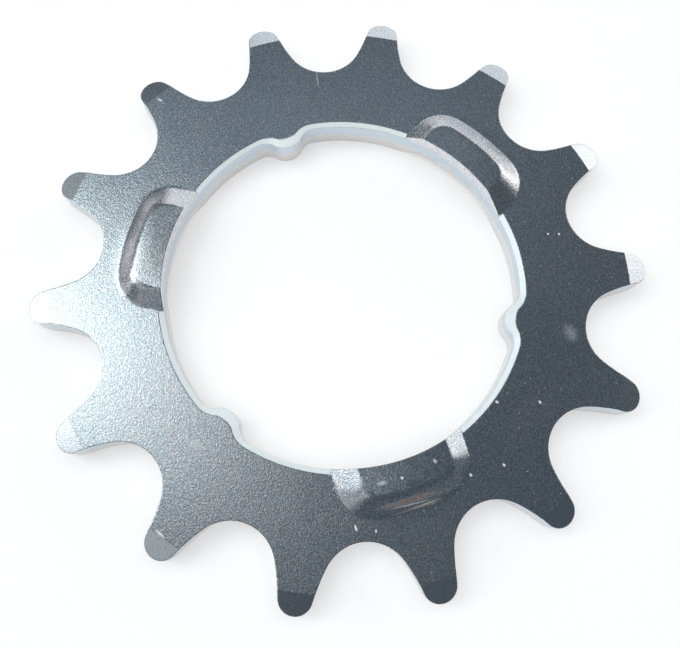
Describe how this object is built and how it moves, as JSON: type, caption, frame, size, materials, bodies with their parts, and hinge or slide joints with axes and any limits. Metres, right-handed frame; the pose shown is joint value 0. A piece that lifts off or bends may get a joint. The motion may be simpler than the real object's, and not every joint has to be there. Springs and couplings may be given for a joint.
{
  "type": "hub gear sprocket",
  "caption": "Flat toothed ring for a roller chain, with half-round drive lugs in its round bore and raised pads pressed up between them.",
  "frame": {"origin": "centre of the bore on the plate's back face", "axes": "+Z along the bore axis, from the flat back face to the front face with the raised pads; a tooth gap is centred on +X"},
  "size_m": [0.0606, 0.062, 0.0042],
  "materials": {
    "plated_steel": "bright zinc plating with a fine grain"
  },
  "bodies": {
    "root": {"sprocket": "plated_steel"}
  },
  "joints": []
}
